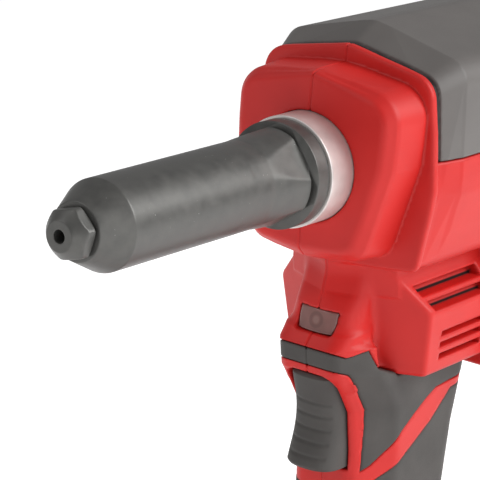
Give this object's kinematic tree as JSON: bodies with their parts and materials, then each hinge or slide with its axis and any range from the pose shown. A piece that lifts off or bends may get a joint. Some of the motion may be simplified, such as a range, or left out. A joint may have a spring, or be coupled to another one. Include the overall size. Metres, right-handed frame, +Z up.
{
  "type": "cordless rivet tool",
  "caption": "Battery-driven pistol-grip riveting tool with a long steel nose, drawing jaws on a ball screw, trigger, lamp and a slide-on battery pack.",
  "frame": {"origin": "middle of the base of the battery pack, on the standing surface", "axes": "+Z up, the nose points along -X, +Y is the right-hand side of the tool"},
  "size_m": [0.25, 0.078, 0.255],
  "materials": {
    "red_plastic": "satin moulded",
    "grey_plastic": "satin moulded",
    "grip_rubber": "fine grain",
    "collar_metal": "turned satin",
    "dark_steel": "black oxide",
    "clear_lens": "smoky clear",
    "board": "lacquered",
    "black_plastic": "satin moulded",
    "steel": "ground",
    "spring_steel": "drawn wire",
    "bronze": "turned",
    "cast_alloy": "as cast",
    "cells": "sleeved",
    "blades": "plated"
  },
  "bodies": {
    "tool": {"left_housing": "red_plastic", "right_housing": "red_plastic", "top_cover": "grey_plastic", "left_grip": "grip_rubber", "right_grip": "grip_rubber", "nose_collar": "collar_metal", "nose_housing": "dark_steel", "nosepiece": "dark_steel", "led_lens": "clear_lens", "led_board": "board", "trigger_switch": "black_plastic", "trigger_spring": "spring_steel", "housing_screws": "dark_steel", "guide_bush": "bronze", "thrust_bearing": "steel", "nut_bearing": "steel", "gear_case": "cast_alloy", "gear_cover": "cast_alloy", "gear_case_screws": "dark_steel", "ring_gear": "steel", "motor_stator": "dark_steel", "motor_front_bearing": "steel", "motor_rear_bearing": "steel", "motor_bracket": "cast_alloy", "mandrel_tube": "steel", "control_board": "board", "terminal_block": "blades"},
    "draw": {"ball_screw": "steel", "jaw_case": "steel", "jaw_spring": "spring_steel"},
    "jaw_set": {"jaws": "steel", "jaw_pusher": "steel"},
    "trigger": {"trigger": "grey_plastic"},
    "nut": {"ball_nut": "steel", "nut_gear": "steel"},
    "drive": {"drive_gear": "steel", "planet_carrier": "steel"},
    "planet_a": {"planet_gear_a": "steel"},
    "planet_b": {"planet_gear_b": "steel"},
    "planet_c": {"planet_gear_c": "steel"},
    "rotor": {"motor_rotor": "dark_steel", "motor_fan": "black_plastic"},
    "cup": {"mandrel_cup": "black_plastic", "cup_seal": "grip_rubber"},
    "battery": {"battery_case": "black_plastic", "battery_cover": "red_plastic", "battery_cells": "cells", "battery_screws": "dark_steel", "left_latch_spring": "spring_steel", "right_latch_spring": "spring_steel"},
    "left_latch": {"left_latch": "red_plastic"},
    "right_latch": {"right_latch": "red_plastic"},
    "gauge_button": {"gauge_button": "black_plastic"}
  },
  "joints": [
    {"name": "trigger_pull", "type": "slide", "parent": "tool", "child": "trigger", "axis": [1, 0, 0], "range_m": [0, 0.007], "stiffness_N_per_m": 1200, "springref_m": -0.004, "deforming": ["trigger_spring"]},
    {"name": "draw_stroke", "type": "slide", "parent": "tool", "child": "draw", "axis": [1, 0, 0], "range_m": [0, 0.025]},
    {"name": "jaw_slide", "type": "slide", "parent": "draw", "child": "jaw_set", "axis": [1, 0, 0], "range_m": [0, 0.003], "stiffness_N_per_m": 2500, "springref_m": -0.003, "deforming": ["jaw_spring"]},
    {"name": "nut_spin", "type": "hinge", "parent": "tool", "child": "nut", "pos_m": [0.014, 0, 0.215], "axis": [1, 0, 0], "range_deg": [-10, 1510]},
    {"name": "drive_spin", "type": "hinge", "parent": "tool", "child": "drive", "pos_m": [0.041, 0, 0.17], "axis": [1, 0, 0], "range_deg": [-2062.6, 10]},
    {"name": "rotor_spin", "type": "hinge", "parent": "tool", "child": "rotor", "pos_m": [0.008, 0, 0.17], "axis": [1, 0, 0], "range_deg": [-9246.8, 10]},
    {"name": "planet_a_spin", "type": "hinge", "parent": "drive", "child": "planet_a", "pos_m": [0.024, 0, 0.17945], "axis": [1, 0, 0], "range_deg": [-10, 5757.4]},
    {"name": "planet_b_spin", "type": "hinge", "parent": "drive", "child": "planet_b", "pos_m": [0.024, -0.00818, 0.16528], "axis": [1, 0, 0], "range_deg": [-10, 5757.4]},
    {"name": "planet_c_spin", "type": "hinge", "parent": "drive", "child": "planet_c", "pos_m": [0.024, 0.00818, 0.16528], "axis": [1, 0, 0], "range_deg": [-10, 5757.4]},
    {"name": "cup_off", "type": "slide", "parent": "tool", "child": "cup", "axis": [1, 0, 0], "range_m": [0, 0.03]},
    {"name": "battery_slide", "type": "slide", "parent": "tool", "child": "battery", "axis": [-1, 0, 0], "range_m": [0, 0.09]},
    {"name": "left_latch_press", "type": "slide", "parent": "battery", "child": "left_latch", "axis": [0, 1, 0], "range_m": [0, 0.0025], "stiffness_N_per_m": 1500, "springref_m": -0.002, "deforming": ["left_latch_spring"]},
    {"name": "right_latch_press", "type": "slide", "parent": "battery", "child": "right_latch", "axis": [0, -1, 0], "range_m": [0, 0.0025], "stiffness_N_per_m": 1500, "springref_m": -0.002, "deforming": ["right_latch_spring"]},
    {"name": "gauge_press", "type": "slide", "parent": "battery", "child": "gauge_button", "axis": [1, 0, 0], "range_m": [0, 0.0008], "stiffness_N_per_m": 2000, "springref_m": -0.0005}
  ],
  "couplings": [
    {"joint": "nut_spin", "follows": "draw_stroke", "rad_per_m": 1047.2},
    {"joint": "drive_spin", "follows": "draw_stroke", "rad_per_m": -1433},
    {"joint": "rotor_spin", "follows": "draw_stroke", "rad_per_m": -6448.5},
    {"joint": "planet_a_spin", "follows": "draw_stroke", "rad_per_m": 4012.4},
    {"joint": "planet_b_spin", "follows": "draw_stroke", "rad_per_m": 4012.4},
    {"joint": "planet_c_spin", "follows": "draw_stroke", "rad_per_m": 4012.4}
  ]
}
